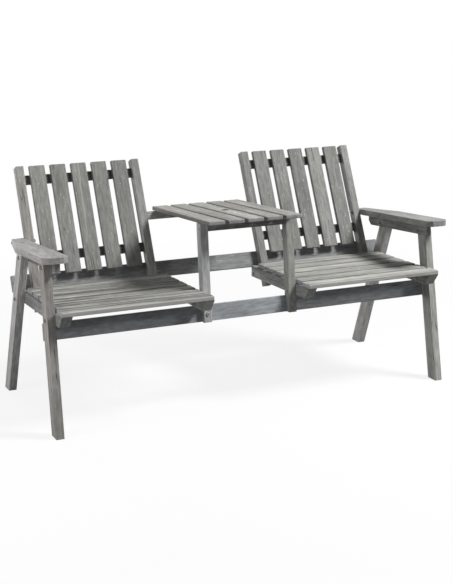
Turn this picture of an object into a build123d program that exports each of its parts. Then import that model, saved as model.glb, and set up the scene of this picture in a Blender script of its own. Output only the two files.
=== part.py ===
from build123d import *

import os
from collections import defaultdict, namedtuple
from math import radians, sqrt, tan

# A garden bench: two seats in one frame, with a slatted table between them.
# Millimetres and degrees. X runs along the bench, Y towards its back, Z up.
# The origin is on the floor, under the middle of the bench. Left and right are as seen from the front.

# Legs and the length of the frame
frame_half_length = 800.0
leg_thickness = 30.0
leg_depth = 54.0
front_foot_y = -346.2
front_leg_lean = 10.2
rear_bolt_y = 129.0
rear_leg_lean = 20.8

# Seats
seat_rail_height = 426.5
seat_slope = 1.3
outer_rail_thickness = 40.0
inner_rail_thickness = 35.0
seat_rail_depth = 44.0
seat_rail_end_cut = 34.0
seat_front_reach = 77.0
seat_overhang = 2.0
seat_back_gap = 17.0
seat_slat_least_gap = 12.0
seat_slat_end_gap = 8.0
front_slat_end_gap = 1.0
seat_screw_spread = 32.0

# Boards that the slats, the stretcher and the beam are cut from
board_width = 62.0
board_thickness = 16.0

# Backs
back_lead = 8.3
back_lean = 24.4
stile_width = 31.0
stile_depth = 34.0
stile_length = 565.0
stile_tail = 48.2
back_slat_length = 431.0
back_slat_drop = 1.0
back_slat_least_gap = 18.0
back_rail_height = 35.0
top_rail_drop = 33.0
bottom_rail_rise = 59.0
back_screw_spread = 28.0

# Armrests and the rails under them
arm_height = 597.3
arm_slope = 4.2
armrest_thickness = 23.0
armrest_overhang = 23.5
armrest_front_reach = 93.0
armrest_corner = 21.0
armrest_tail = 20.0
armrest_taper_length = 208.0
armrest_tail_inset = 45.5
arm_rail_thickness = 18.0
arm_rail_height = 40.0
arm_rail_front_reach = 46.0
arm_rail_rear_reach = 72.0
arm_rail_corner = 18.0
arm_screw_reach = 65.0

# Table and its posts
table_post_gap = 322.0
post_width = 32.0
post_depth = 34.5
post_lead = 20.0
post_lean = 5.8
table_height = 694.8
table_slope = 3.55
table_front_reach = 76.0
table_rear_reach = 41.0
table_side_inset = 3.0
table_slat_width = 66.0
table_slat_least_gap = 8.0
table_rail_height = 30.0
table_rail_thickness = 18.0
table_joint_drop = 21.0
parasol_hole_radius = 21.0

# Rounded edges
frame_round = 2.0
slat_round = 3.0
table_round = 4.0

# Bolts, nuts and screws
bolt_radius = 4.0
bolt_head_radius = 7.0
bolt_head_height = 4.0
bolt_head_round = 2.5
socket_width = 5.0
socket_depth = 2.5
bolt_drop = 6.0
bolt_tip = 2.0
nut_width = 13.0
nut_height = 6.5
screw_radius = 2.0
screw_head_radius = 3.8
screw_tip = 3.0
recess_length = 4.2
recess_width = 0.9
recess_depth = 1.1
slat_screw_length = 30.0
joint_screw_length = 60.0
armrest_screw_length = 45.0
beam_screw_length = 36.0
beam_screw_spread = 25.0
screw_cover = 3.0

# Clearances
seat_clearance = 0.3
bolt_clearance = 0.25
thread_clearance = 0.1
screw_clearance = 0.15
spot_face_clearance = 0.5
tip_clearance = 1.0

SIDES = {"left": -1, "right": 1}
FLOOR = (0.0, 0.0)


# In the side view a leaning face is y = foot + lean * z, and a sloping plane is z = rise - fall * y

def face_through(point, degrees):
    """The leaning face through a point (y, z)."""
    lean = tan(radians(degrees))
    return (point[0] - lean * point[1], lean)


def upright(y):
    """The upright face at y."""
    return (y, 0.0)


def level(z):
    """The level plane at z."""
    return (z, 0.0)


def set_back(face, depth):
    """The parallel face that lies depth further back."""
    foot, lean = face
    return (foot + depth * sqrt(1 + lean ** 2), lean)


def lowered(plane, depth):
    """The parallel plane that lies depth lower."""
    rise, fall = plane
    return (rise - depth * sqrt(1 + fall ** 2), fall)


def meet(face, plane):
    """The point (y, z) where a leaning face meets a sloping plane."""
    foot, lean = face
    rise, fall = plane
    z = (rise - fall * foot) / (1 + fall * lean)
    return (foot + lean * z, z)


def cross(face, other):
    """The point (y, z) where two leaning faces meet."""
    z = (other[0] - face[0]) / (face[1] - other[1])
    return (face[0] + face[1] * z, z)


def leaning_frame(point, face):
    """A workplane on a leaning face: X along the bench, Y up the lean, Z out to the front."""
    return Plane(origin=(0, *point), x_dir=(1, 0, 0), z_dir=(0, -1, face[1]))


def sloping_frame(plane):
    """A workplane on a sloping plane: X along the bench, Y to the back, Z up."""
    return Plane(origin=(0, 0, plane[0]), x_dir=(1, 0, 0), z_dir=(0, plane[1], 1))


def along(direction):
    """An axis in this direction, to pick the edges that run with it."""
    return Axis((0, 0, 0), direction)


def quad(face, other_face, plane, other_plane):
    """The outline between two leaning faces and two sloping planes."""
    lower = [meet(face, plane), meet(other_face, plane)]
    upper = [meet(other_face, other_plane), meet(face, other_plane)]
    return lower + upper


def row(start, end, width, least_gap):
    """Starts of as many boards as fit from start to end, the first and last flush with the ends."""
    count = int((end - start + least_gap) / (width + least_gap))
    step = (end - start - width) / (count - 1)
    return [start + step * number for number in range(count)]


# Planes of the seats, the armrests and the table
seat_top = (seat_rail_height, tan(radians(seat_slope)))
seat_rail_low = lowered(seat_top, seat_rail_depth)
seat_rail_middle = lowered(seat_top, seat_rail_depth / 2)
seat_bolt_line = lowered(seat_rail_middle, bolt_drop)
arm_under = (arm_height, tan(radians(arm_slope)))
arm_middle = lowered(arm_under, -armrest_thickness / 2)
arm_rail_low = lowered(arm_under, arm_rail_height)
arm_bolt_line = lowered(arm_under, arm_rail_height / 2 + bolt_drop)
table_under = lowered((table_height, tan(radians(table_slope))), board_thickness)
table_rail_low = lowered(table_under, table_rail_height)
table_joint_line = lowered(table_under, table_joint_drop)

# Faces of the legs and the stiles: one bolt holds a rear leg, a seat rail and a stile
front_leg_front = face_through((front_foot_y, 0.0), front_leg_lean)
front_leg_middle = set_back(front_leg_front, leg_depth / 2)
front_leg_rear = set_back(front_leg_front, leg_depth)
rear_seat_bolt_at = meet(upright(rear_bolt_y), seat_bolt_line)
rear_leg_middle = face_through(rear_seat_bolt_at, -rear_leg_lean)
rear_leg_front = set_back(rear_leg_middle, -leg_depth / 2)
rear_leg_rear = set_back(rear_leg_middle, leg_depth / 2)
back_middle = face_through((rear_bolt_y - back_lead, rear_seat_bolt_at[1]), back_lean)
back_front = set_back(back_middle, -stile_depth / 2)
back_rear = set_back(back_middle, stile_depth / 2)

# Places along X, from the table outwards
post_inner_x = table_post_gap / 2
inner_rail_x = post_inner_x + post_width
inner_stile_x = inner_rail_x + inner_rail_thickness
back_inner_x = inner_stile_x + stile_width
leg_inner_x = frame_half_length - leg_thickness
leg_middle_x = frame_half_length - leg_thickness / 2
arm_rail_x = leg_inner_x - arm_rail_thickness
outer_rail_x = leg_inner_x - outer_rail_thickness
back_outer_x = outer_rail_x - stile_width
armrest_outer_x = frame_half_length + armrest_overhang

# Workplanes
stile_joint = leaning_frame(meet(back_front, seat_bolt_line), back_front)
stile_foot = stile_joint.from_local_coords((0, -stile_tail, 0))
back = leaning_frame((stile_foot.Y, stile_foot.Z), back_front)
seat = sloping_frame(seat_top)
arm = sloping_frame(arm_under)
table = sloping_frame(table_under)

# The stretcher hangs under the seat rails, on the rear faces of the front legs
stretcher_edge = meet(front_leg_rear, lowered(seat_rail_low, seat_clearance))
stretcher = leaning_frame(stretcher_edge, front_leg_rear)
stretcher_middle = stretcher.from_local_coords((0, -board_width / 2, 0))
stretcher_foot = level(stretcher.from_local_coords((0, -board_width, 0)).Z)
stretcher_top = (stretcher_edge[1] + front_leg_rear[1] * stretcher_edge[0], front_leg_rear[1])

# The table posts stand in front of the stretcher, which is let into their rear faces
post_front = face_through((stretcher_middle.Y - post_lead, stretcher_middle.Z), post_lean)
post_middle = set_back(post_front, post_depth / 2)
post_rear = set_back(post_front, post_depth)

# The beam lies on the rear faces of the stiles, with its lower edge on the rear legs
beam_foot = back.to_local_coords(Vector(0, *cross(back_rear, rear_leg_rear))).Y + seat_clearance
beam_middle = beam_foot + board_width / 2
beam_depth = stile_depth + board_thickness

# Slats and rails of the backs, as heights up the lean
back_slat_top = stile_length - back_slat_drop
back_slat_foot = back_slat_top - back_slat_length
back_rail_thickness = stile_depth - board_thickness
back_rail_feet = {
    "top": back_slat_top - top_rail_drop - back_rail_height,
    "bottom": back_slat_foot + bottom_rail_rise,
}

# Rows of slats
seat_front_y = meet(front_leg_front, seat_top)[0] - seat_front_reach
seat_rear_y = meet(back_front, seat_top)[0] - seat_back_gap
seat_slat_starts = row(seat_front_y, seat_rear_y, board_width, seat_slat_least_gap)
back_clear_width = back_outer_x - back_inner_x
back_slat_count = int((back_clear_width - back_slat_least_gap) / (board_width + back_slat_least_gap))
back_slat_gap = (back_clear_width - back_slat_count * board_width) / (back_slat_count + 1)
back_slat_starts = [back_inner_x + back_slat_gap + (board_width + back_slat_gap) * number
                    for number in range(back_slat_count)]
table_half_width = inner_rail_x - table_side_inset
table_slat_starts = row(-table_half_width, table_half_width, table_slat_width, table_slat_least_gap)
table_start = meet(post_front, table_under)[0] - table_front_reach
table_end = meet(back_front, table_under)[0] + table_rear_reach

# Fasteners: the plane under a bolt's head or on a screw's head, with Z out of the wood, and the length
Bolt = namedtuple("Bolt", "seat grip length")
Screw = namedtuple("Screw", "seat length")
WideHole = namedtuple("WideHole", "seat radius depth")
bolts = []
screws = defaultdict(list)
bolt_holes = defaultdict(list)
sunk_holes = defaultdict(list)
pilot_holes = defaultdict(list)
wide_holes = defaultdict(list)
spot_face_radius = bolt_head_radius + spot_face_clearance


def across(x, towards, point):
    """A plane at x and a point (y, z), facing along X."""
    return Plane(origin=(x, *point), z_dir=(towards, 0, 0))


def before(frame, x, y, depth):
    """A plane that faces with a workplane, moved out of it by depth."""
    return Plane(origin=frame.from_local_coords((x, y, depth)), z_dir=frame.z_dir)


def behind(frame, x, y, depth):
    """A plane that faces against a workplane, moved behind it by depth."""
    return Plane(origin=frame.from_local_coords((x, y, -depth)), z_dir=-frame.z_dir)


def add_bolt(seat, grip, boards):
    """A bolt through the named boards, held by a nut."""
    bolt = Bolt(seat, grip, grip + nut_height + bolt_tip)
    bolts.append(bolt)
    for board in boards:
        bolt_holes[board].append(bolt)


def spot_face_depth(slope):
    """How deep a round seat for a bolt's head lies at its middle, in wood that slopes so much."""
    return spot_face_radius * slope + spot_face_clearance


def spot_face(board, seat, depth):
    """Cut the round seat of a bolt's head, and the wood beside it that rises to twice its depth."""
    wide_holes[board].append(WideHole(seat.offset(2 * depth), spot_face_radius, 2 * depth))


def add_screw(group, seat, length, head_board, end_board):
    """A countersunk screw with its head in one board and its end in another."""
    screw = Screw(seat, length)
    screws[group].append(screw)
    sunk_holes[head_board].append(screw)
    pilot_holes[end_board].append(screw)


def by_length(fasteners):
    """The seats of the fasteners of each length, to be bored or filled in one step."""
    seats = defaultdict(list)
    for fastener in fasteners:
        seats[fastener.length].append(fastener.seat)
    return seats.items()


def bore(board):
    """Bore a board for all that passes through it."""
    for length, seats in by_length(bolt_holes[board]):
        with Locations(*seats):
            Hole(bolt_radius + bolt_clearance, depth=length + tip_clearance)
    for length, seats in by_length(sunk_holes[board]):
        with Locations(*seats):
            CounterSinkHole(screw_radius + screw_clearance, screw_head_radius + screw_clearance,
                            depth=length + tip_clearance, counter_sink_angle=90)
    for length, seats in by_length(pilot_holes[board]):
        with Locations(*seats):
            Hole(screw_radius + screw_clearance, depth=length + tip_clearance)
    for hole in wide_holes[board]:
        with Locations(hole.seat):
            Hole(hole.radius, depth=hole.depth)


pieces = {}


def flat_board(name, frame, x_span, y_span, thickness, radius, long_axis=None):
    """A board on a workplane, rounded on all edges or only on those along long_axis."""
    x_low, x_high = sorted(x_span)
    y_low, y_high = y_span
    with BuildPart() as board:
        with BuildSketch(frame):
            with Locations(((x_low + x_high) / 2, (y_low + y_high) / 2)):
                Rectangle(x_high - x_low, y_high - y_low)
        extrude(amount=thickness)
        rounded = board.edges() if long_axis is None else board.edges().filter_by(long_axis)
        fillet(rounded, radius)
        bore(name)
    pieces[name] = board.part


def side_board(name, outline, x_span, long_axis):
    """A board with an outline of points (y, z), carried along X and rounded on its long edges."""
    x_low, x_high = sorted(x_span)
    with BuildPart() as board:
        with BuildSketch(Plane.YZ.offset(x_low)):
            with BuildLine():
                Polyline(*outline, close=True)
            make_face()
        extrude(amount=x_high - x_low)
        fillet(board.edges().filter_by(long_axis), frame_round)
        bore(name)
    pieces[name] = board.part


# Fasteners of both sides
armrest_bolt_at = meet(back_middle, arm_middle)
front_arm_bolt_at = meet(front_leg_middle, arm_bolt_line)
rear_arm_bolt_at = meet(rear_leg_middle, arm_bolt_line)
post_seat_depth = spot_face_depth(abs(front_leg_front[1] - post_front[1]))
post_seat_at = meet(set_back(post_front, post_seat_depth), level(stretcher_middle.Z))
post_seat_grip = stretcher.to_local_coords(Vector(0, *post_seat_at)).Z + board_thickness
armrest_taper = armrest_tail_inset / armrest_taper_length
armrest_seat_depth = spot_face_depth(armrest_taper)
armrest_edge_x = armrest_outer_x - armrest_tail_inset + armrest_taper * armrest_tail
armrest_seat_x = armrest_edge_x - armrest_seat_depth
batten_joint_at = meet(set_back(post_front, table_rail_thickness / 2), table_joint_line)
table_rail_joint_at = meet(set_back(back_front, table_rail_thickness / 2), table_joint_line)

for name, side in SIDES.items():
    outside = side * frame_half_length
    front_leg = f"front_leg_{name}"
    rear_leg = f"rear_leg_{name}"
    arm_rail = f"arm_rail_{name}"
    armrest = f"armrest_{name}"
    outer_rail = f"outer_seat_rail_{name}"
    inner_rail = f"inner_seat_rail_{name}"
    outer_stile = f"outer_stile_{name}"
    inner_stile = f"inner_stile_{name}"
    post = f"table_post_{name}"

    # Bolts of the end frame
    add_bolt(across(outside, side, meet(front_leg_middle, seat_bolt_line)),
             leg_thickness + outer_rail_thickness, [front_leg, outer_rail])
    add_bolt(across(outside, side, rear_seat_bolt_at),
             leg_thickness + outer_rail_thickness + stile_width, [rear_leg, outer_rail, outer_stile])
    for leg, point in ((front_leg, front_arm_bolt_at), (rear_leg, rear_arm_bolt_at)):
        add_bolt(across(outside, side, point), leg_thickness + arm_rail_thickness, [leg, arm_rail])

    # The armrest's bolt has a spot face, because its edge runs aslant there
    armrest_seat = across(side * armrest_seat_x, side, armrest_bolt_at)
    add_bolt(armrest_seat, armrest_seat_x - back_outer_x, [armrest, outer_stile])
    spot_face(armrest, armrest_seat, armrest_seat_depth)

    # Bolts of the middle frame; the one into the stretcher has a spot face, because the post leans less
    add_bolt(across(side * post_inner_x, -side, meet(post_middle, seat_bolt_line)),
             post_width + inner_rail_thickness, [post, inner_rail])
    add_bolt(across(side * inner_rail_x, -side, rear_seat_bolt_at),
             inner_rail_thickness + stile_width, [inner_rail, inner_stile])
    post_seat = Plane(origin=(side * (post_inner_x + post_width / 2), *post_seat_at), z_dir=stretcher.z_dir)
    add_bolt(post_seat, post_seat_grip, [post, "front_stretcher"])
    spot_face(post, post_seat, post_seat_depth)

    # Long screws of the frame
    arm_screw_x = side * (arm_rail_x + arm_rail_thickness / 2)
    for place in (front_arm_bolt_at[0] + arm_screw_reach, rear_arm_bolt_at[0] - arm_screw_reach):
        add_screw("joint_screws", before(arm, arm_screw_x, place, armrest_thickness), armrest_screw_length,
                  armrest, arm_rail)
    for offset in (-beam_screw_spread / 2, beam_screw_spread / 2):
        add_screw("joint_screws",
                  behind(stretcher, side * leg_middle_x, offset - board_width / 2, board_thickness),
                  beam_screw_length, "front_stretcher", front_leg)
        for stile, stile_x in ((inner_stile, inner_stile_x), (outer_stile, back_outer_x)):
            add_screw("joint_screws",
                      behind(back, side * (stile_x + stile_width / 2), beam_middle + offset, beam_depth),
                      beam_screw_length, "rear_beam", stile)
    add_screw("joint_screws", across(side * inner_rail_x, side, batten_joint_at), joint_screw_length,
              post, "front_table_batten")
    add_screw("joint_screws", across(side * back_inner_x, side, table_rail_joint_at), joint_screw_length,
              inner_stile, "rear_table_rail")

    # Screws of the back: through the stiles into the rails, and from behind through the rails into the slats
    for height, foot in back_rail_feet.items():
        rail = f"{height}_back_rail_{name}"
        rail_middle = foot + back_rail_height / 2
        centre = back.from_local_coords((0, rail_middle, -board_thickness - back_rail_thickness / 2))
        rail_end_at = (centre.Y, centre.Z)
        add_screw("joint_screws", across(side * inner_stile_x, -side, rail_end_at), joint_screw_length,
                  inner_stile, rail)
        add_screw("joint_screws", across(side * outer_rail_x, side, rail_end_at), joint_screw_length,
                  outer_stile, rail)
        for number, start in enumerate(back_slat_starts, 1):
            for offset in (-back_screw_spread / 2, back_screw_spread / 2):
                add_screw("back_slat_screws",
                          behind(back, side * (start + board_width / 2) + offset, rail_middle, stile_depth),
                          stile_depth - screw_cover, rail, f"back_slat_{name}_{number}")

    # Screws of the seat slats, in the middle of each seat rail's bearing
    inner_screw_x = (inner_rail_x + seat_slat_end_gap + inner_stile_x) / 2
    outer_screw_x = (leg_inner_x - seat_slat_end_gap + outer_rail_x) / 2
    for number, start in enumerate(seat_slat_starts, 1):
        slat_middle = start + board_width / 2
        for rail, x in ((inner_rail, inner_screw_x), (outer_rail, outer_screw_x)):
            for offset in (-seat_screw_spread / 2, seat_screw_spread / 2):
                add_screw("seat_slat_screws", before(seat, side * x, slat_middle + offset, board_thickness),
                          slat_screw_length, f"seat_slat_{name}_{number}", rail)

# Screws of the table slats, and the parasol hole in the middle one
batten_top_at = meet(set_back(post_front, table_rail_thickness / 2), table_under)
table_rail_top_at = meet(set_back(back_front, table_rail_thickness / 2), table_under)
for number, start in enumerate(table_slat_starts, 1):
    screw_x = (max(start, -post_inner_x) + min(start + table_slat_width, post_inner_x)) / 2
    for rail, point in (("front_table_batten", batten_top_at), ("rear_table_rail", table_rail_top_at)):
        place = table.to_local_coords(Vector(0, *point)).Y
        add_screw("table_slat_screws", before(table, screw_x, place, board_thickness), slat_screw_length,
                  f"table_slat_{number}", rail)
middle_number = len(table_slat_starts) // 2
parasol_x = table_slat_starts[middle_number] + table_slat_width / 2
wide_holes[f"table_slat_{middle_number + 1}"].append(
    WideHole(before(table, parasol_x, (table_start + table_end) / 2, board_thickness),
             parasol_hole_radius, board_thickness))

# Outlines in the side view
seat_rail_front = upright(seat_front_y + seat_overhang)
seat_rail_cut = upright(seat_front_y + seat_overhang + seat_rail_end_cut)
seat_rail_rear = upright(meet(back_rear, seat_rail_middle)[0])
seat_rail_outline = [
    meet(seat_rail_front, seat_top), meet(seat_rail_rear, seat_top),
    meet(seat_rail_rear, seat_rail_low), meet(seat_rail_cut, seat_rail_low),
]
arm_rail_front = upright(meet(front_leg_front, arm_under)[0] - arm_rail_front_reach)
arm_rail_rear = upright(meet(rear_leg_rear, arm_under)[0] + arm_rail_rear_reach)
arm_rail_outline = [
    meet(arm_rail_front, arm_under), meet(arm_rail_rear, arm_under),
    meet(arm_rail_rear, lowered(arm_rail_low, -arm_rail_corner)),
    meet(set_back(arm_rail_rear, -arm_rail_corner), arm_rail_low), meet(arm_rail_front, arm_rail_low),
]
post_outline = [
    meet(post_front, stretcher_foot), meet(post_front, table_under), meet(post_rear, table_under),
    meet(post_rear, stretcher_top), stretcher_edge, meet(front_leg_rear, stretcher_foot),
]

# Outline of an armrest from above: cut front corners, and a tail that tapers to the back
armrest_front_y = meet(front_leg_front, arm_under)[0] - armrest_front_reach
armrest_rear_y = arm.to_local_coords(Vector(0, *armrest_bolt_at)).Y + armrest_tail
armrest_outline = [
    (outer_rail_x, armrest_front_y + armrest_corner),
    (outer_rail_x + armrest_corner, armrest_front_y),
    (armrest_outer_x - armrest_corner, armrest_front_y),
    (armrest_outer_x, armrest_front_y + armrest_corner),
    (armrest_outer_x, armrest_rear_y - armrest_taper_length),
    (armrest_outer_x - armrest_tail_inset, armrest_rear_y),
    (outer_rail_x, armrest_rear_y),
]

for name, side in SIDES.items():
    # Legs and arm rail
    leg_span = (side * leg_inner_x, side * frame_half_length)
    side_board(f"front_leg_{name}", quad(front_leg_front, front_leg_rear, FLOOR, arm_under), leg_span,
               along((0, front_leg_front[1], 1)))
    side_board(f"rear_leg_{name}", quad(rear_leg_front, rear_leg_rear, FLOOR, arm_under), leg_span,
               along((0, rear_leg_front[1], 1)))
    side_board(f"arm_rail_{name}", arm_rail_outline, (side * arm_rail_x, side * leg_inner_x),
               along(arm.y_dir))

    # Armrest
    with BuildPart() as arm_board:
        with BuildSketch(arm):
            with BuildLine():
                Polyline(*[(side * x, y) for x, y in armrest_outline], close=True)
            make_face()
        extrude(amount=armrest_thickness)
        fillet(arm_board.edges().filter_by(along(arm.z_dir)), slat_round)
        fillet(arm_board.faces().sort_by(along(arm.z_dir))[-1].edges(), slat_round)
        bore(f"armrest_{name}")
    pieces[f"armrest_{name}"] = arm_board.part

    # Seat rails, seat slats and table post
    side_board(f"outer_seat_rail_{name}", seat_rail_outline, (side * outer_rail_x, side * leg_inner_x),
               along(seat.y_dir))
    side_board(f"inner_seat_rail_{name}", seat_rail_outline, (side * inner_rail_x, side * inner_stile_x),
               along(seat.y_dir))
    for number, start in enumerate(seat_slat_starts, 1):
        end_gap = front_slat_end_gap if number == 1 else seat_slat_end_gap
        flat_board(f"seat_slat_{name}_{number}", seat,
                   (side * (inner_rail_x + end_gap), side * (leg_inner_x - end_gap)),
                   (start, start + board_width), board_thickness, slat_round)
    side_board(f"table_post_{name}", post_outline, (side * post_inner_x, side * inner_rail_x),
               along((0, post_front[1], 1)))

    # Stiles, back rails and back slats
    flat_board(f"inner_stile_{name}", back, (side * inner_stile_x, side * back_inner_x),
               (0, stile_length), -stile_depth, frame_round)
    flat_board(f"outer_stile_{name}", back, (side * back_outer_x, side * outer_rail_x),
               (0, stile_length), -stile_depth, frame_round)
    for height, foot in back_rail_feet.items():
        flat_board(f"{height}_back_rail_{name}", back.offset(-board_thickness),
                   (side * back_inner_x, side * back_outer_x), (foot, foot + back_rail_height),
                   -back_rail_thickness, frame_round, Axis.X)
    for number, start in enumerate(back_slat_starts, 1):
        flat_board(f"back_slat_{name}_{number}", back, (side * start, side * (start + board_width)),
                   (back_slat_foot, back_slat_top), -board_thickness, slat_round)

# Stretcher and beam, along the whole bench
full_span = (-frame_half_length, frame_half_length)
flat_board("front_stretcher", stretcher, full_span, (-board_width, 0), -board_thickness, frame_round)
flat_board("rear_beam", back.offset(-stile_depth), full_span, (beam_foot, beam_foot + board_width),
           -board_thickness, frame_round)

# Table
for number, start in enumerate(table_slat_starts, 1):
    flat_board(f"table_slat_{number}", table, (start, start + table_slat_width), (table_start, table_end),
               board_thickness, table_round)
side_board("front_table_batten",
           quad(post_front, set_back(post_front, table_rail_thickness), table_under, table_rail_low),
           (-post_inner_x, post_inner_x), Axis.X)
side_board("rear_table_rail",
           quad(back_front, set_back(back_front, table_rail_thickness), table_under, table_rail_low),
           (-inner_stile_x, inner_stile_x), Axis.X)


def bolt_blank(length):
    """A bolt with a round head and a hexagon socket, its head's underside at the origin."""
    with BuildPart() as blank:
        with BuildSketch(Plane.XY.offset(-length)):
            Circle(bolt_radius)
        extrude(amount=length)
        with BuildSketch(Plane.XY):
            Circle(bolt_head_radius)
        extrude(amount=bolt_head_height)
        fillet(blank.edges().sort_by(Axis.Z)[-1], bolt_head_round)
        with BuildSketch(Plane.XY.offset(bolt_head_height)):
            RegularPolygon(socket_width / 2, 6, major_radius=False)
        extrude(amount=-socket_depth, mode=Mode.SUBTRACT)
    return blank.part


def screw_blank(length):
    """A countersunk screw with a cross recess, its head's top at the origin."""
    cone = screw_head_radius - screw_radius
    with BuildPart() as blank:
        with BuildSketch(Plane.XZ):
            with BuildLine():
                Polyline((0, 0), (screw_head_radius, 0), (screw_radius, -cone),
                         (screw_radius, screw_tip - length), (0, -length), close=True)
            make_face()
        revolve(axis=Axis.Z)
        with BuildSketch(Plane.XY):
            Rectangle(recess_length, recess_width)
            Rectangle(recess_width, recess_length)
        extrude(amount=-recess_depth, mode=Mode.SUBTRACT)
    return blank.part


def fastener_group(name, fasteners, blank):
    """Fasteners of one kind, each in its place, as separate solids of one node."""
    with BuildPart() as group:
        for length, seats in by_length(fasteners):
            with Locations(*seats):
                add(blank(length))
    pieces[name] = group.part


fastener_group("frame_bolts", bolts, bolt_blank)
for name, group in screws.items():
    fastener_group(name, group, screw_blank)

# Nuts on the ends of the bolts
with BuildPart() as frame_nuts:
    with BuildSketch(*[behind(bolt.seat, 0, 0, bolt.grip) for bolt in bolts]):
        RegularPolygon(nut_width / 2, 6, major_radius=False)
        Circle(bolt_radius + thread_clearance, mode=Mode.SUBTRACT)
    extrude(amount=nut_height)
pieces["frame_nuts"] = frame_nuts.part

os.makedirs("parts", exist_ok=True)
for name, piece in pieces.items():
    piece.label = name
    export_step(piece, f"parts/{name}.step")
print(len(pieces), "pieces")
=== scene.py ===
# %% [markdown]
# This bench has two slatted seats in one frame, with a small slatted table between them. Every board, bolt
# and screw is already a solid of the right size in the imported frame. The boards could be modelled again
# here, but then the drawing and the picture would disagree. So the frame's own pieces are kept, and this
# scene gives them what a solid lacks: grey weathered wood, plated metal, light and a camera.

# %% Load the frame
from math import radians, tau

import bpy
import numpy as np
from mathutils import Matrix, Vector

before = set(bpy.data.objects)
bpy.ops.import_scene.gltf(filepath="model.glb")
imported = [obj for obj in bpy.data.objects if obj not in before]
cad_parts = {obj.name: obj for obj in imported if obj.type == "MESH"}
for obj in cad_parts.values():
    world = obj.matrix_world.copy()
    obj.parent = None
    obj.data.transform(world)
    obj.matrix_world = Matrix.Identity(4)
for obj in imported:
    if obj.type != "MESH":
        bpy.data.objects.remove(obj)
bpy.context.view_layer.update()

BOLTS = ("frame_bolts",)
NUTS = ("frame_nuts",)
SCREWS = ("seat_slat_screws", "back_slat_screws", "table_slat_screws", "joint_screws")
FASTENERS = BOLTS + NUTS + SCREWS
boards = {name: node for name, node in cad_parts.items() if name not in FASTENERS}
print(len(boards), "boards,", len(FASTENERS), "groups of fasteners")

# %% [markdown]
# A sawn board has its fibres along its length, so the grain has to run along each board, whichever way the
# board leans. The direction could be typed in for every board, but the mesh already holds it: the broad
# sides have the most area, the narrow sides less, and the ends the least. The sum of area times normal
# times normal is a small matrix whose eigenvectors are the board's three directions, so one function
# serves all boards.

# %% Find the directions of each board
def board_axes(node):
    """Rows along a board's length, width and thickness, with its middle and half sizes in those rows.

    The matrix is the sum over faces of area * normal * normal, and its eigenvectors come in order from the
    least area to the most: length, width, thickness. Each row is turned to point to the positive side, and
    the last one is then turned so that the three are right-handed.
    """
    mesh = node.data
    areas = np.empty(len(mesh.polygons))
    mesh.polygons.foreach_get("area", areas)
    normals = np.empty(3 * len(mesh.polygons))
    mesh.polygons.foreach_get("normal", normals)
    normals = normals.reshape(-1, 3)
    spread = (normals * areas[:, None]).T @ normals
    axes = np.linalg.eigh(spread)[1].T
    axes *= np.sign(axes[np.arange(3), np.abs(axes).argmax(axis=1)])[:, None]
    axes[2] *= np.sign(np.linalg.det(axes))
    points = np.empty(3 * len(mesh.vertices))
    mesh.vertices.foreach_get("co", points)
    local = points.reshape(-1, 3) @ axes.T
    low = local.min(axis=0)
    high = local.max(axis=0)
    return axes, (low + high) / 2, (high - low) / 2


directions = {name: board_axes(node) for name, node in boards.items()}
longest = max(directions, key=lambda name: directions[name][2][0])
print("the longest board is", longest, "with half sizes in metres", directions[longest][2].round(3))

# %% [markdown]
# Shader nodes can be placed by hand in the node editor. In a script, each one takes several lines: make it,
# set its options, join its sockets. A few small helpers make that one line each, so that the recipe for
# the wood reads like a recipe.

# %% Helpers for shader nodes
def add_node(tree, kind, sockets=None, **options):
    """Add a node with its options; a socket gets a link if its value is a socket, or else that value."""
    node = tree.nodes.new(kind)
    for option, value in options.items():
        setattr(node, option, value)
    for socket, value in (sockets or {}).items():
        if isinstance(value, bpy.types.NodeSocket):
            tree.links.new(value, node.inputs[socket])
        else:
            node.inputs[socket].default_value = value
    return node


def calculate(tree, operation, first, *others):
    """One operation, taken from left to right over two or more numbers, or on a single one."""
    total = first
    for other in others or (0.0,):
        total = add_node(tree, "ShaderNodeMath", {0: total, 1: other}, operation=operation).outputs[0]
    return total


def vectors(tree, operation, first, second=(0.0, 0.0, 0.0)):
    """One operation on two vectors, or on a single one."""
    return add_node(tree, "ShaderNodeVectorMath", {0: first, 1: second}, operation=operation).outputs[0]


def remap(tree, value, start, end, low=0.0, high=1.0):
    """A smooth step: low up to start, high from end on, and an S-shaped rise between them."""
    sockets = {"Value": value, "From Min": start, "From Max": end, "To Min": low, "To Max": high}
    return add_node(tree, "ShaderNodeMapRange", sockets, interpolation_type="SMOOTHSTEP").outputs["Result"]


def mix_colours(tree, factor, first, second, blend="MIX"):
    """Two colours mixed by a factor from 0 to 1; the Mix node's colour sockets are numbers 6, 7 and 2."""
    sockets = {0: factor, 6: first, 7: second}
    return add_node(tree, "ShaderNodeMix", sockets, data_type="RGBA", blend_type=blend).outputs[2]


print("helpers for single nodes ready")

# %% [markdown]
# All boards are of the same wood, so its pattern is built once and lent to every board. Its nodes could be
# copied into each material, but then a change would have to be made once per board. A node group is the
# better way: it is a recipe with named ingredients, and each board brings its own.

# %% Helper for node groups
def start_group(name, inputs, outputs):
    """An empty node group with named sockets, and the sockets that bring in what it is given."""
    tree = bpy.data.node_groups.new(name, "ShaderNodeTree")
    for socket, kind in inputs.items():
        tree.interface.new_socket(socket, in_out="INPUT", socket_type=f"NodeSocket{kind}")
    for socket, kind in outputs.items():
        tree.interface.new_socket(socket, in_out="OUTPUT", socket_type=f"NodeSocket{kind}")
    return tree, tree.nodes.new("NodeGroupInput").outputs


print("helper for node groups ready")

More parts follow.
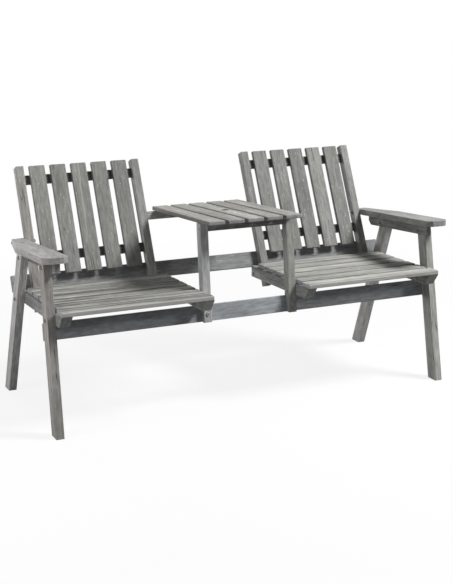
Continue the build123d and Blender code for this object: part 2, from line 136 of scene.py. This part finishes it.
# %% [markdown]
# The wood is softwood, stained grey and left outdoors. A photograph of wood could be wrapped round each
# board, but then the grain would break at every edge. A solid pattern in three dimensions is cut by the
# board's sides as a real log is, so all of the groups below work from a position inside the board: X along
# its length, Y across it and Z through it, in metres from its middle. Noise that is stretched along X gives
# everything that follows the fibres, and only the number of features per metre differs.

# %% Noise along the grain
# Features per metre along a board, features per metre across it, and octaves
GRAIN = {
    "wander": (2.2, 5.0, 2.0),
    "fibre": (7.0, 230.0, 3.0),
    "hair": (25.0, 900.0, 2.0),
    "mottle": (26.0, 120.0, 3.0),
    "fleck": (45.0, 240.0, 2.0),
    "streak": (1.6, 70.0, 2.0),
    "blotch": (4.5, 16.0, 4.0),
    "silver": (3.5, 120.0, 3.0),
    "silver place": (3.0, 14.0, 2.0),
    "crack": (2.5, 75.0, 1.0),
    "crack place": (5.0, 25.0, 1.0),
}


def grain_noise(tree, given, name):
    """Cloudy noise from 0 to 1, at the position times the features per metre in each direction."""
    along, across, octaves = GRAIN[name]
    stretched = vectors(tree, "MULTIPLY", given["Position"], (along, across, across))
    sockets = {"Vector": stretched, "W": given["Seed"], "Scale": 1.0, "Detail": octaves}
    return add_node(tree, "ShaderNodeTexNoise", sockets, noise_dimensions="4D").outputs[0]


print(len(GRAIN), "kinds of noise")

# %% [markdown]
# A tree adds a ring each year, pale in spring and dark in summer. On a sawn board the rings show as long
# flames on the broad sides and as arcs on the ends. They could be drawn as lines on each side, but then the
# lines would not meet at the edges. Here they are a wave round the pith, the middle of the log, which lies
# beside or below the board. The pith wanders a little, and the rings swerve round each knot. The knots sit
# in a few cells of a Voronoi pattern, chosen by the cell's own random colour.

# %% Growth rings and knots
RING_PERIOD = 0.0036
WAVE_PERIODS_PER_UNIT = 20 / tau
RING_WAVINESS = 0.8
RING_WAVE_SCALE = 0.4
KNOT_CELLS_PER_METRE = 8.0
KNOT_CHANCE = (0.55, 0.57)
KNOT_RIM = (0.11, 0.06)
SWERVE_RIM = (0.3, 0.05)
SWERVE = 0.014
WANDER = 0.016
SUMMER_SHARPNESS = 2.2


def make_ring_group():
    """Summer wood from 0 to 1, and a mask of the knots.

    Summer wood is a saw wave of the distance from the pith, raised to a power. A knot is the core of a
    chosen Voronoi cell. The pith is shifted by noise, and further the nearer a knot is, so the rings swerve.
    """
    tree, given = start_group("growth rings", {"Position": "Vector", "Pith": "Vector", "Seed": "Float"},
                              {"Summer": "Float", "Knot": "Float"})
    cells = add_node(tree, "ShaderNodeTexVoronoi",
                     {"Vector": given["Position"], "W": given["Seed"], "Scale": KNOT_CELLS_PER_METRE},
                     voronoi_dimensions="4D").outputs
    choice = add_node(tree, "ShaderNodeSeparateColor", {0: cells["Color"]}).outputs[0]
    present = remap(tree, choice, *KNOT_CHANCE)
    knot = calculate(tree, "MULTIPLY", present, remap(tree, cells["Distance"], *KNOT_RIM))
    swerve = calculate(tree, "MULTIPLY", present, remap(tree, cells["Distance"], *SWERVE_RIM, 0.0, SWERVE))
    wander = calculate(tree, "MULTIPLY", grain_noise(tree, given, "wander"), WANDER)
    shift = calculate(tree, "ADD", swerve, wander)
    offset = add_node(tree, "ShaderNodeCombineXYZ", {"Y": shift, "Z": shift}).outputs[0]
    from_pith = vectors(tree, "ADD", vectors(tree, "SUBTRACT", given["Position"], given["Pith"]), offset)
    rings = add_node(tree, "ShaderNodeTexWave",
                     {"Vector": from_pith, "Scale": 1 / (WAVE_PERIODS_PER_UNIT * RING_PERIOD),
                      "Distortion": RING_WAVINESS, "Detail Scale": RING_WAVE_SCALE},
                     wave_type="RINGS", rings_direction="X", wave_profile="SAW").outputs[1]
    summer = calculate(tree, "POWER", rings, SUMMER_SHARPNESS)
    add_node(tree, "NodeGroupOutput", {"Summer": summer, "Knot": knot})
    return tree


growth_rings = make_ring_group()
print("growth rings with", len(growth_rings.nodes), "nodes")

# %% [markdown]
# Weather works on the stained surface. The stain has soaked in unevenly, which leaves long streaks, soft
# blotches and a fine mottle. Small flecks and, here and there, raised fibres have lost the stain and are
# pale as silver, and drying has opened short dark cracks. All this could be painted on, board by board.
# Each is one of the noises above instead, sharpened with a smooth step, so no two boards are alike.

# %% Weathering
MIDDLE_OF_NOISE = (0.3, 0.7)
MOTTLE_TONE = (0.82, 1.16)
STREAK_TONE = (-0.28, 0.14)
BLOTCH_TONE = (0.84, 1.12)
FLECK_EDGE = (0.64, 0.7)
SILVER_EDGE = (0.54, 0.66)
SILVER_PLACE_EDGE = (0.45, 0.62)
CRACK_LEVEL = 0.5
CRACK_EDGE = (0.012, 0.003)
CRACK_PLACE_EDGE = (0.58, 0.66)


def make_weather_group():
    """How light the stain is, about 1, and masks of fibres, hairs, silvered fibres and cracks.

    The tone is mottle, times 1 plus streak times wear, times blotch. Silver is the greater of the flecks and
    of the worn fibres in their places. A crack runs where its noise crosses a level, within its places.
    """
    tree, given = start_group("weather", {"Position": "Vector", "Seed": "Float", "Wear": "Float"},
                              {"Tone": "Float", "Fibre": "Float", "Hair": "Float", "Silver": "Float",
                               "Crack": "Float"})
    noise = {name: grain_noise(tree, given, name) for name in GRAIN if name != "wander"}
    mottle = remap(tree, noise["mottle"], *MIDDLE_OF_NOISE, *MOTTLE_TONE)
    streak = remap(tree, noise["streak"], *MIDDLE_OF_NOISE, *STREAK_TONE)
    blotch = remap(tree, noise["blotch"], *MIDDLE_OF_NOISE, *BLOTCH_TONE)
    streaked = calculate(tree, "ADD", calculate(tree, "MULTIPLY", streak, given["Wear"]), 1.0)
    tone = calculate(tree, "MULTIPLY", mottle, streaked, blotch)
    worn = calculate(tree, "MULTIPLY", remap(tree, noise["silver"], *SILVER_EDGE),
                     remap(tree, noise["silver place"], *SILVER_PLACE_EDGE), given["Wear"])
    silver = calculate(tree, "MAXIMUM", worn, remap(tree, noise["fleck"], *FLECK_EDGE))
    crack_line = calculate(tree, "ABSOLUTE", calculate(tree, "SUBTRACT", noise["crack"], CRACK_LEVEL))
    crack = calculate(tree, "MULTIPLY", remap(tree, crack_line, *CRACK_EDGE),
                      remap(tree, noise["crack place"], *CRACK_PLACE_EDGE))
    fibre = remap(tree, noise["fibre"], *MIDDLE_OF_NOISE)
    add_node(tree, "NodeGroupOutput",
             {"Tone": tone, "Fibre": fibre, "Hair": noise["hair"], "Silver": silver, "Crack": crack})
    return tree


weather = make_weather_group()
print("weather with", len(weather.nodes), "nodes")

# %% [markdown]
# The long edges of a board, its arrises, are where the stain rubs off first, and their pale line is also a
# painted highlight. The narrow sides between two slats are darkened as painted shade for the gaps between
# them, and the sawn ends are a little bluer. All three could be painted by hand, board by board. The board's
# half sizes tell the same: a point is on an arris where it is close to a broad and a narrow side at once, on
# a narrow side where it is close to the end of the width, and on an end where it is close to the end of the
# length.

# %% Arrises, narrow sides and ends
ARRIS_REACH = (0.0045, 0.0005)
SIDE_REACH = (0.0022, 0.0006)
END_REACH = (0.0016, 0.0004)
ARRIS_RAGGEDNESS = (0.0, 0.8)


def make_edge_group():
    """Masks of the arrises, which are rubbed pale and carry a painted highlight, of the narrow sides and of
    the ends.

    The gaps are the half sizes less the position's absolute values. An arris is a small gap in width times a
    small gap in thickness, made ragged by the fibres. A side is a small gap in width, and an end in length.
    """
    tree, given = start_group("board edges", {"Position": "Vector", "Half Size": "Vector", "Fibre": "Float"},
                              {"Arris": "Float", "Side": "Float", "End": "Float"})
    inward = vectors(tree, "SUBTRACT", given["Half Size"], vectors(tree, "ABSOLUTE", given["Position"]))
    gaps = add_node(tree, "ShaderNodeSeparateXYZ", {0: inward}).outputs
    arris = calculate(tree, "MULTIPLY", remap(tree, gaps["Y"], *ARRIS_REACH),
                      remap(tree, gaps["Z"], *ARRIS_REACH), remap(tree, given["Fibre"], *ARRIS_RAGGEDNESS))
    add_node(tree, "NodeGroupOutput", {"Arris": arris, "Side": remap(tree, gaps["Y"], *SIDE_REACH),
                                       "End": remap(tree, gaps["X"], *END_REACH)})
    return tree


board_edges = make_edge_group()
print("board edges with", len(board_edges.nodes), "nodes")

# %% [markdown]
# Stained wood is one colour that other colours lie over: pale where fibres have silvered and where hands and
# legs rub the arrises, which also carry a painted highlight, and dark in knots and in cracks. Painted shade
# darkens the narrow sides of the slats, and painted light brightens the front edges of the front seat slats
# and the ends of the seat slats. They could be blended by one long formula. A list of layers is easier to
# follow and to change: each has its colour and the share that it may cover.

# %% Colours that lie over the stain
SILVERED = (0.56, 0.56, 0.53, 1)
# Painted shade: the narrow sides of the slats are darkened for the gaps between them.
SIDE_PAINTED_SHADE = (0.06, 0.058, 0.055, 1)
# Pale rubbed wood; on the arrises it is also a painted highlight, and on the front seat edges painted light.
RUBBED_AND_PAINTED_LIGHT = (0.5, 0.49, 0.46, 1)
END_GRAIN = (0.26, 0.265, 0.285, 1)
# Painted light: the ends of the seat slats are made paler.
PAINTED_LIGHT_END = (0.5, 0.51, 0.54, 1)
KNOT_WOOD = (0.085, 0.07, 0.055, 1)
CRACK_DARK = (0.03, 0.028, 0.026, 1)
SILVER_SHARE = 0.68
SIDE_SHARE = 0.6
ARRIS_SHARE = 0.6
END_SHARE = 0.5
KNOT_SHARE = 0.6
CRACK_SHARE = 0.7
print("the palest layer is silvered wood,", SILVERED[0], "and the darkest a crack,", CRACK_DARK[0])

# %% [markdown]
# Now the parts come together. Rings, fibres and hairs decide how much summer wood shows, and the tone
# darkens or lightens it. Then silver, narrow sides, arrises, ends, knots and cracks are laid over it in that
# order. The same masks give the height for the bump: summer wood and fibres stand up, and cracks lie deep.
# The relief could be modelled, but it is well under a millimetre deep, so a bump is enough.

# %% The wood
# Weights of rings, fibres and hairs
SUMMER_WEIGHTS = (0.3, 0.46, 0.24)
HEIGHT_WEIGHTS = (0.35, 0.3, 0.25)
SUMMER_RANGE = (0.1, 0.9)
WOOD_ROUGHNESS = (0.62, 0.82)
WOOD_INPUTS = {"Position": "Vector", "Half Size": "Vector", "Pith": "Vector", "Seed": "Float",
               "Wear": "Float", "Sides In Painted Shade": "Float", "Painted Light On Sides": "Float", "Painted Light Ends": "Float",
               "Spring Wood": "Color", "Summer Wood": "Color"}


def weighted_sum(tree, values, weights):
    """Each value times its weight, added up."""
    return calculate(tree, "ADD", *(calculate(tree, "MULTIPLY", *pair) for pair in zip(values, weights)))


def make_wood_group():
    """Weathered wood: colour, roughness and height from a position in the board.

    The colour goes from spring to summer wood by a weighted sum of rings, fibres and hairs. It is multiplied
    by the tone and mixed with each layer by the product of that layer's masks and share. The height is
    another weighted sum of the same three, less the cracks.
    """
    tree, given = start_group("weathered wood", WOOD_INPUTS,
                              {"Color": "Color", "Roughness": "Float", "Height": "Float"})
    rings = add_node(tree, "ShaderNodeGroup",
                     {socket: given[socket] for socket in ("Position", "Pith", "Seed")},
                     node_tree=growth_rings).outputs
    weathered = add_node(tree, "ShaderNodeGroup",
                         {socket: given[socket] for socket in ("Position", "Seed", "Wear")},
                         node_tree=weather).outputs
    edges = add_node(tree, "ShaderNodeGroup",
                     {"Position": given["Position"], "Half Size": given["Half Size"],
                      "Fibre": weathered["Fibre"]},
                     node_tree=board_edges).outputs
    grain = (rings["Summer"], weathered["Fibre"], weathered["Hair"])
    summer = weighted_sum(tree, grain, SUMMER_WEIGHTS)
    colour = mix_colours(tree, summer, given["Spring Wood"], given["Summer Wood"])
    tone = weathered["Tone"]
    grey = add_node(tree, "ShaderNodeCombineColor", {0: tone, 1: tone, 2: tone}).outputs[0]
    colour = mix_colours(tree, 1.0, colour, grey, "MULTIPLY")
    layers = (
        (SILVERED, weathered["Silver"], SILVER_SHARE),
        # Painted shade on the narrow sides of the slats
        (SIDE_PAINTED_SHADE, edges["Side"], given["Sides In Painted Shade"], SIDE_SHARE),
        # Painted light on the front edges of the front seat slats
        (RUBBED_AND_PAINTED_LIGHT, edges["Side"], given["Painted Light On Sides"]),
        # Rubbed wear on the arrises, together with a painted highlight
        (RUBBED_AND_PAINTED_LIGHT, edges["Arris"], given["Wear"], ARRIS_SHARE),
        (END_GRAIN, edges["End"], END_SHARE),
        # Painted light on the ends of the seat slats
        (PAINTED_LIGHT_END, edges["End"], given["Painted Light Ends"]),
        (KNOT_WOOD, rings["Knot"], KNOT_SHARE),
        (CRACK_DARK, weathered["Crack"], CRACK_SHARE),
    )
    for layer, *masks in layers:
        colour = mix_colours(tree, calculate(tree, "MULTIPLY", *masks), colour, layer)
    height = calculate(tree, "SUBTRACT", weighted_sum(tree, grain, HEIGHT_WEIGHTS), weathered["Crack"])
    roughness = remap(tree, summer, *SUMMER_RANGE, *WOOD_ROUGHNESS)
    add_node(tree, "NodeGroupOutput", {"Color": colour, "Roughness": roughness, "Height": height})
    return tree


weathered_wood = make_wood_group()
print("wood with", len(weathered_wood.nodes), "nodes")

# %% [markdown]
# Each board took the stain a little differently. One colour for all would look like plastic, and a colour
# picked at random could make a light board where a dark one belongs. So there is one pair of colours for
# spring and summer wood, and a shade by which a board, or a row of boards, is lighter or darker than that
# pair in red, green and blue. Many shades also hold painted light and painted shade: boards that the lamps
# leave dim, such as the legs, are made paler, and boards that lie in shade, such as the back rails, the rear
# beam and the table batten, are made darker. A key stands for all boards whose names start with it.

# %% Shades of the boards, with painted light and shade
SPRING_WOOD = np.array([0.37, 0.369, 0.352])
SUMMER_WOOD = np.array([0.198, 0.198, 0.19])
PLAIN_SHADE = (1.0, 1.0, 1.0)
# Besides each board's stain, many shades are painted light, making dim boards paler, and painted shade,
# making shaded boards darker.
TONES_AND_PAINTED_LIGHT = {
    "table_slat_3": (1.48, 1.46, 1.42),
    "table_slat": (1.17, 1.15, 1.12),
    # Partly painted light: the stretcher is made paler and bluer.
    "front_stretcher": (1.17, 1.23, 1.33),
    # Painted shade: the rear beam is darkened for the shade under the back slats.
    "rear_beam": (0.88, 0.9, 0.94),
    "seat_slat_left_1": (1.0, 1.0, 0.98),
    "seat_slat_left_4": (0.86, 0.86, 0.84),
    "seat_slat_left": (0.98, 0.98, 0.95),
    # Partly painted light: the right seat's slats are paler than the left seat's.
    "seat_slat_right_1": (1.42, 1.42, 1.39),
    "seat_slat_right": (1.32, 1.32, 1.29),
    "back_slat_left_1": (0.73, 0.73, 0.72),
    "back_slat_left_5": (1.03, 1.03, 1.0),
    "back_slat_left": (0.85, 0.85, 0.83),
    "back_slat_right_3": (0.7, 0.7, 0.7),
    "back_slat_right": (0.84, 0.84, 0.82),
    # Painted shade: the back rails are darkened for the shade behind the back slats.
    "top_back_rail": (0.45, 0.45, 0.44),
    "bottom_back_rail": (0.45, 0.45, 0.44),
    "front_leg_left": (1.19, 1.14, 1.12),
    # Painted light: the right front leg, both rear legs and the left table post are made paler where the
    # lamps leave them dim.
    "front_leg_right": (1.36, 1.36, 1.33),
    "rear_leg_left": (1.85, 1.83, 1.87),
    "rear_leg_right": (2.05, 2.03, 2.07),
    "table_post_left": (1.8, 1.83, 1.9),
    "table_post_right": (1.12, 1.12, 1.08),
    # Painted shade: the batten under the table is darkened for the shade there.
    "front_table_batten": (0.65, 0.65, 0.64),
    "armrest_left": (1.22, 1.19, 1.21),
    "armrest_right": (1.05, 1.06, 1.08),
    "arm_rail_left": (1.0, 0.97, 1.01),
    # Painted shade: the right arm rail is darkened on the side that the side lamp lights.
    "arm_rail_right": (0.86, 0.87, 0.9),
    "outer_stile_left": (0.95, 0.92, 0.89),
    # Painted shade: the right inner stile is darkened on the side that the side lamp lights.
    "inner_stile_right": (0.77, 0.77, 0.77),
    # Painted light: the inner rail of the left seat is made paler for its dim front end.
    "inner_seat_rail_left": (1.6, 1.6, 1.58),
}


def by_name(table, name, otherwise=0.0):
    """The entry of the first key that the board's name starts with."""
    return next((entry for start, entry in table.items() if name.startswith(start)), otherwise)


plain_boards = [name for name in boards if by_name(TONES_AND_PAINTED_LIGHT, name, None) is None]
print(len(boards) - len(plain_boards), "boards with a shade of their own,", len(plain_boards), "plain ones")

# %% [markdown]
# What lies open to the rain and is sat on wears most, so the seats have the strongest streaks and the table
# comes next. Smooth boards, such as the stretcher and the back slats, have less contrast between spring and
# summer wood. The narrow sides of the slats are darkened as painted shade for the gaps between them, while
# the front edges of the front seat slats and the ends of the seat slats are made paler as painted light.
# Each could be a mask of its own on each board. One number per row of boards is enough, because the wood
# group already knows where sides and ends are.

# %% How the boards have worn, and their painted light and shade on sides and ends
PLAIN_WEAR = 0.35
WEAR = {"seat_slat_left": 2.1, "seat_slat_right": 1.2, "table_slat": 0.85, "front_stretcher": 0.15,
        "rear_beam": 0.2}
# Painted shade on the narrow sides of the slats, but not on the front seat slats
SIDES_IN_PAINTED_SHADE = {"seat_slat_left_1": 0.0, "seat_slat_right_1": 0.0, "seat_slat": 1.0, "table_slat": 1.0,
                 "back_slat": 1.0}
# Painted light: the front edges of the front seat slats are made paler.
PAINTED_LIGHT_ON_SIDES = {"seat_slat_left_1": 0.9, "seat_slat_right_1": 0.4}
# Painted light on the ends of the seat slats
PAINTED_LIGHT_ENDS = {"seat_slat_left": 0.7, "seat_slat_right": 0.6}
EVENNESS = {"front_stretcher": 0.6, "rear_beam": 0.5, "table_post_left": 0.5, "rear_table_rail": 0.5,
            "back_slat": 0.45}
print("wear from", min(WEAR.values()), "to", max(WEAR.values()))

# %% [markdown]
# Each board comes from another part of a log, so each gets a material of its own: the shared pattern with
# its own seed, its own place of the pith and its own shade. One material for all would run the same rings
# through every board. A Mapping node turns the object's coordinates into the board's length, width and
# thickness, so the pattern follows the board however it leans.

# %% A material for each board
SHADE_SPREAD = (0.95, 1.05)
PITH_ASIDE = (-0.03, 0.03)
PITH_BELOW = (-0.09, -0.03)
SEEDS = (0, 90)
GRAIN_STRENGTH = 0.5
GRAIN_RELIEF = 0.0006
WOOD_SPECULAR = 0.3
FIRST_DRAW = 7
chance = np.random.default_rng(FIRST_DRAW)


def board_material(name):
    """The shared wood pattern, turned along one board and tinted for it.

    Spring and summer wood move towards each other by the evenness times half of their difference, and both
    are multiplied by the board's shade.
    """
    axes, middle, half_size = directions[name]
    material = bpy.data.materials.new(f"wood {name}")
    material.use_nodes = True
    tree = material.node_tree
    shader = tree.nodes["Principled BSDF"]
    # For many boards the shade also holds painted light and painted shade.
    shade = np.array(by_name(TONES_AND_PAINTED_LIGHT, name, PLAIN_SHADE)) * chance.uniform(*SHADE_SPREAD)
    pith = (0.0, chance.uniform(*PITH_ASIDE), chance.uniform(*PITH_BELOW))
    towards_even = by_name(EVENNESS, name) * (SPRING_WOOD - SUMMER_WOOD) / 2
    coordinates = add_node(tree, "ShaderNodeTexCoord").outputs["Object"]
    turned = add_node(tree, "ShaderNodeMapping", {"Vector": coordinates, "Location": tuple(-middle),
                                                  "Rotation": Matrix(axes.tolist()).to_euler()}).outputs[0]
    wood = add_node(tree, "ShaderNodeGroup", {
        "Position": turned,
        "Half Size": half_size,
        "Pith": pith,
        "Seed": chance.uniform(*SEEDS),
        "Wear": by_name(WEAR, name, PLAIN_WEAR),
        # Painted shade on the narrow sides; painted light on the front seat edges and the seat slat ends
        "Sides In Painted Shade": by_name(SIDES_IN_PAINTED_SHADE, name),
        "Painted Light On Sides": by_name(PAINTED_LIGHT_ON_SIDES, name),
        "Painted Light Ends": by_name(PAINTED_LIGHT_ENDS, name),
        "Spring Wood": (*((SPRING_WOOD - towards_even) * shade), 1),
        "Summer Wood": (*((SUMMER_WOOD + towards_even) * shade), 1),
    }, node_tree=weathered_wood).outputs
    bump = add_node(tree, "ShaderNodeBump", {"Height": wood["Height"], "Strength": GRAIN_STRENGTH,
                                             "Distance": GRAIN_RELIEF})
    tree.links.new(wood["Color"], shader.inputs["Base Color"])
    tree.links.new(wood["Roughness"], shader.inputs["Roughness"])
    tree.links.new(bump.outputs[0], shader.inputs["Normal"])
    shader.inputs["Specular IOR Level"].default_value = WOOD_SPECULAR
    return material


def dress(node, material):
    """Put one material in every slot of a node."""
    for slot in node.material_slots:
        slot.material = material


for name in sorted(boards):
    dress(boards[name], board_material(name))
print(len(boards), "boards dressed")

# %% [markdown]
# The bolts are zinc plated and passivated yellow, now dull and brownish. Those of the middle frame were
# stained over together with the wood, so they are grey. The nuts have the yellow plating too, but lie
# sheltered and are brighter, and the screws are plain grey. One flat metal would do from afar, but plating
# is never quite even: it clouds, and it dulls in places. So a noise changes both colour and roughness.

# %% Plated metal
CLOUDS_PER_METRE = 260.0
CLOUD_OCTAVES = 4.0
CLOUD_EDGE = (0.35, 0.65)
DULLING_EDGE = (0.3, 0.7)
PLATING_ROUGHNESS = (0.34, 0.58)
SCRATCHES_PER_METRE = 1500.0
SCRATCH_OCTAVES = 2.0
SCRATCH_STRENGTH = 0.15
SCRATCH_RELIEF = 0.0002
STAINED_OVER = (0.36, 0.363, 0.37, 1)
MIDDLE_FRAME_REACH = (0.3, 0.35)


def plated_metal(name, bright, dull, stained_reach=None):
    """Metal whose colour and roughness drift between a bright and a dull plating.

    Up to the start of the stained reach, measured sideways from the middle of the bench, it is stained over.
    """
    material = bpy.data.materials.new(name)
    material.use_nodes = True
    tree = material.node_tree
    shader = tree.nodes["Principled BSDF"]
    coordinates = add_node(tree, "ShaderNodeTexCoord").outputs["Object"]
    cloud = add_node(tree, "ShaderNodeTexNoise", {"Vector": coordinates, "Scale": CLOUDS_PER_METRE,
                                                  "Detail": CLOUD_OCTAVES}).outputs[0]
    scratch = add_node(tree, "ShaderNodeTexNoise", {"Vector": coordinates, "Scale": SCRATCHES_PER_METRE,
                                                    "Detail": SCRATCH_OCTAVES}).outputs[0]
    colour = mix_colours(tree, remap(tree, cloud, *CLOUD_EDGE), bright, dull)
    shader.inputs["Metallic"].default_value = 1.0
    if stained_reach:
        sideways = add_node(tree, "ShaderNodeSeparateXYZ", {0: coordinates}).outputs["X"]
        bare = remap(tree, calculate(tree, "ABSOLUTE", sideways), *stained_reach)
        colour = mix_colours(tree, bare, STAINED_OVER, colour)
        tree.links.new(bare, shader.inputs["Metallic"])
    bump = add_node(tree, "ShaderNodeBump", {"Height": scratch, "Strength": SCRATCH_STRENGTH,
                                             "Distance": SCRATCH_RELIEF})
    tree.links.new(colour, shader.inputs["Base Color"])
    tree.links.new(remap(tree, cloud, *DULLING_EDGE, *PLATING_ROUGHNESS), shader.inputs["Roughness"])
    tree.links.new(bump.outputs[0], shader.inputs["Normal"])
    return material


bolt_metal = plated_metal("dull yellow zinc", (0.19, 0.168, 0.134, 1), (0.09, 0.081, 0.067, 1),
                          MIDDLE_FRAME_REACH)
nut_metal = plated_metal("bright yellow zinc", (0.42, 0.4, 0.355, 1), (0.26, 0.247, 0.217, 1))
screw_metal = plated_metal("grey zinc", (0.24, 0.237, 0.23, 1), (0.14, 0.138, 0.133, 1))
for groups, metal in ((BOLTS, bolt_metal), (NUTS, nut_metal), (SCREWS, screw_metal)):
    for group in groups:
        dress(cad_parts[group], metal)
print("metals on", len(FASTENERS), "groups of fasteners")

# %% [markdown]
# The bench stands on a plain pale floor that runs out of the picture. A white floor under strong light would
# bleach the undersides of the boards. So the floor is diffuse and catches a soft shadow, and only towards
# the camera it is mixed with white, as a lit studio floor is. For the light that it throws back up it is a
# darker grey, so that the undersides stay dark.

# %% Floor
FLOOR_HALF = 12.0
FLOOR_GREY = (0.22, 0.22, 0.22, 1)
FLOOR_PALE = (0.9, 0.9, 0.9, 1)
FLOOR_WHITE_SHARE = 0.86
FLOOR_FADE = (1.2, 3.0)


def seen_directly(tree):
    """1 for rays that come from the camera, a gloss or a glass, and 0 for the light that they gather."""
    path = add_node(tree, "ShaderNodeLightPath").outputs
    rays = [path[ray] for ray in ("Is Camera Ray", "Is Glossy Ray", "Is Transmission Ray")]
    return calculate(tree, "MAXIMUM", *rays)


def floor_material():
    """Diffuse grey, mixed with white where it is seen, by a share that rises to 1 away from the bench."""
    material = bpy.data.materials.new("pale floor")
    material.use_nodes = True
    tree = material.node_tree
    tree.nodes.remove(tree.nodes["Principled BSDF"])
    seen = seen_directly(tree)
    grey = mix_colours(tree, seen, FLOOR_GREY, FLOOR_PALE)
    diffuse = add_node(tree, "ShaderNodeBsdfDiffuse", {"Color": grey})
    white = add_node(tree, "ShaderNodeEmission", {"Strength": 1.0})
    position = add_node(tree, "ShaderNodeTexCoord").outputs["Object"]
    distance = add_node(tree, "ShaderNodeVectorMath", {0: position}, operation="LENGTH").outputs["Value"]
    share = calculate(tree, "MULTIPLY", seen, remap(tree, distance, *FLOOR_FADE, FLOOR_WHITE_SHARE, 1.0))
    mixed = add_node(tree, "ShaderNodeMixShader", {0: share, 1: diffuse.outputs[0], 2: white.outputs[0]})
    tree.links.new(mixed.outputs[0], tree.nodes["Material Output"].inputs["Surface"])
    return material


def make_floor():
    """A square on the ground, from its four corners."""
    corners = np.array([(-1, -1, 0), (1, -1, 0), (1, 1, 0), (-1, 1, 0)]) * FLOOR_HALF
    mesh = bpy.data.meshes.new("studio floor")
    mesh.from_pydata(corners.tolist(), [], [(0, 1, 2, 3)])
    mesh.materials.append(floor_material())
    floor = bpy.data.objects.new("studio_floor", mesh)
    bpy.context.scene.collection.objects.link(floor)


make_floor()
print("floor", 2 * FLOOR_HALF, "metres wide")

# %% [markdown]
# Round the bench the world is white to the camera, like paper behind an object in a studio. As light it is
# only a weak, faintly cool sky that fills the shadows. A strong white world would light every side alike and
# take the shape away.

# %% World
WORLD_STRENGTH = 0.075
SKY = (0.93, 0.9, 1.0, 1)
WHITE = (1.0, 1.0, 1.0, 1)


def make_world():
    """White to the camera, and a weak sky as light."""
    world = bpy.data.worlds.new("studio")
    world.use_nodes = True
    tree = world.node_tree
    background = tree.nodes["Background"]
    seen = seen_directly(tree)
    tree.links.new(mix_colours(tree, seen, SKY, WHITE), background.inputs["Color"])
    tree.links.new(remap(tree, seen, 0.0, 1.0, WORLD_STRENGTH, 1.0), background.inputs["Strength"])
    bpy.context.scene.world = world


make_world()
print("sky of strength", WORLD_STRENGTH)

# %% [markdown]
# Three large soft lamps light the bench. The key lamp stands in front, high and to the right, so that tops
# are lightest and fronts a little darker. A weak side lamp stands close to the left end, so that the left
# end's sides are light and those towards the right fall off into shade. A low lamp behind the bench shows
# the rear, which the key lamp doesn't reach. Area lamps give the soft shadow edges of a studio; a sun would
# draw hard stripes under the slats.

# %% Lamps
LAMPS = {
    "key": {"place": (2.9, -1.8, 4.05), "target": (0.0, 0.0, 0.4), "size": 1.2, "power": 288.0},
    "side": {"place": (-2.2, -0.5, 1.2), "target": (-0.6, 0.0, 0.4), "size": 1.0, "power": 15.5},
    "back": {"place": (-1.5, 4.8, 0.9), "target": (0.0, 0.0, 0.4), "size": 1.6, "power": 110.0},
}


def soft_lamp(name, place, target, size, power):
    """A square lamp that looks at a target, turned so that its -Z axis points there."""
    light = bpy.data.lights.new(name, "AREA")
    light.energy = power
    light.size = size
    lamp = bpy.data.objects.new(f"{name}_lamp", light)
    lamp.location = place
    towards = Vector(target) - Vector(place)
    lamp.rotation_euler = towards.to_track_quat("-Z", "Y").to_euler()
    bpy.context.scene.collection.objects.link(lamp)
    print(name, "lamp", round(towards.length, 2), "metres away")


for name, lamp in LAMPS.items():
    soft_lamp(name, **lamp)

# %% [markdown]
# The camera stands in front of the bench, left of its middle and higher than its backs, and looks down by
# about ten degrees. Turned down far enough to put the bench in the middle of the picture, it would make
# upright posts lean together. So the film is shifted the rest of the way, as in catalogue pictures, which
# Blender does with a vertical shift.

# %% Camera
IMAGE_HEIGHT = 584
FOCAL_PIXELS = 1310.7
AXIS_RISE = 82
CAMERA_PLACE = Vector((-2.1026, -4.5205, 1.6223))
CAMERA_AZIMUTH = 25.07
CAMERA_FALL = 10.56
LEVEL = 90
SENSOR = 36.0

camera_data = bpy.data.cameras.new("camera")
camera_data.sensor_fit = "VERTICAL"
camera_data.sensor_height = SENSOR
camera_data.lens = FOCAL_PIXELS * SENSOR / IMAGE_HEIGHT
camera_data.shift_y = -AXIS_RISE / IMAGE_HEIGHT
camera = bpy.data.objects.new("camera", camera_data)
camera.location = CAMERA_PLACE
camera.rotation_euler = (radians(LEVEL - CAMERA_FALL), 0.0, radians(-CAMERA_AZIMUTH))
bpy.context.scene.collection.objects.link(camera)
bpy.context.scene.camera = camera
bpy.context.scene.view_settings.view_transform = "Standard"
print("lens", round(camera_data.lens, 1), "mm")
